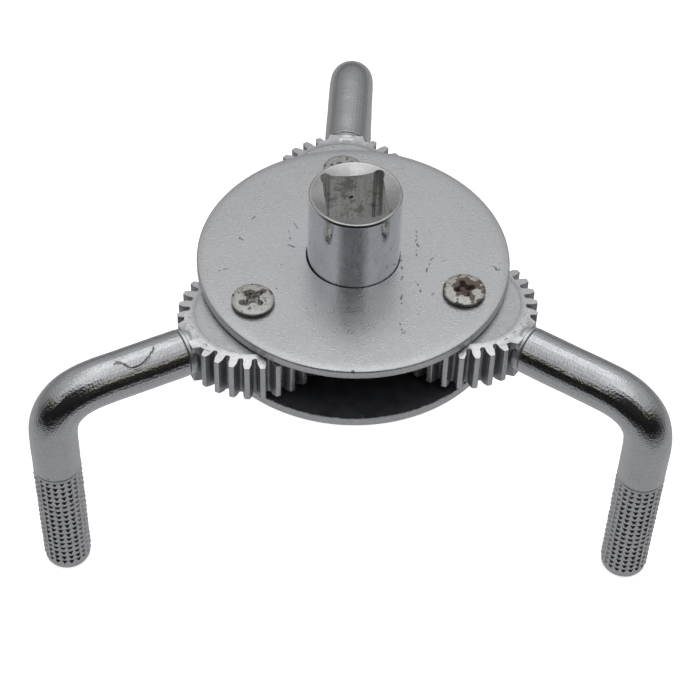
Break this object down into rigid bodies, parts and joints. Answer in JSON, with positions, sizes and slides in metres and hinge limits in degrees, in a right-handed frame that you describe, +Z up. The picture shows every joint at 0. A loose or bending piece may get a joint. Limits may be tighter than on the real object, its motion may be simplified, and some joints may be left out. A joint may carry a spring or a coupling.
{
  "type": "oil filter wrench",
  "caption": "Geared oil filter wrench: a square drive between two round plates turns planet gears whose bent, knurled rod arms close together on a filter.",
  "frame": {"origin": "on the drive's axis, at the underside of the bottom plate", "axes": "+Z up along the drive's axis towards its mouth, +Y from the drive's axis to the first planet's axis, +X to the right seen from the other two arms"},
  "size_m": [0.1332, 0.1223, 0.0773],
  "materials": {
    "plates": "bright zinc plate over blasted sheet steel, satin with a fine grain and light handling scratches",
    "drive": "turned steel, bright plated, with a duller broached square",
    "gears": "pressed and zinc plated steel, satin, bright at the tooth ends",
    "rods": "bright plated rod over a slightly uneven surface, knurled at the legs",
    "screws": "zinc plated and worn, with brown patches in and round the recess",
    "sleeves": "bright drawn steel tube",
    "washers": "bright stamped steel"
  },
  "bodies": {
    "head": {"top_plate": "plates", "bottom_plate": "plates", "pivot_sleeve_1": "sleeves", "pivot_screw_1": "screws", "thrust_washer_1": "washers", "pivot_sleeve_2": "sleeves", "pivot_screw_2": "screws", "thrust_washer_2": "washers", "pivot_sleeve_3": "sleeves", "pivot_screw_3": "screws", "thrust_washer_3": "washers"},
    "drive": {"drive_socket": "drive"},
    "arm_1": {"planet_gear_1": "gears", "arm_rod_1": "rods"},
    "arm_2": {"planet_gear_2": "gears", "arm_rod_2": "rods"},
    "arm_3": {"planet_gear_3": "gears", "arm_rod_3": "rods"}
  },
  "joints": [
    {"name": "drive_turn", "type": "hinge", "parent": "head", "child": "drive", "pos_m": [0, 0, 0], "axis": [0, 0, 1], "range_deg": [-180, 157]},
    {"name": "arm_1_swing", "type": "hinge", "parent": "head", "child": "arm_1", "pos_m": [0, 0.0255, 0], "axis": [0, 0, 1], "range_deg": [-110, 126]},
    {"name": "arm_2_swing", "type": "hinge", "parent": "head", "child": "arm_2", "pos_m": [-0.02208, -0.01275, 0], "axis": [0, 0, 1], "range_deg": [-110, 126]},
    {"name": "arm_3_swing", "type": "hinge", "parent": "head", "child": "arm_3", "pos_m": [0.02208, -0.01275, 0], "axis": [0, 0, 1], "range_deg": [-110, 126]}
  ],
  "couplings": [
    {"joint": "arm_1_swing", "follows": "drive_turn", "ratio": -0.7},
    {"joint": "arm_2_swing", "follows": "drive_turn", "ratio": -0.7},
    {"joint": "arm_3_swing", "follows": "drive_turn", "ratio": -0.7}
  ]
}
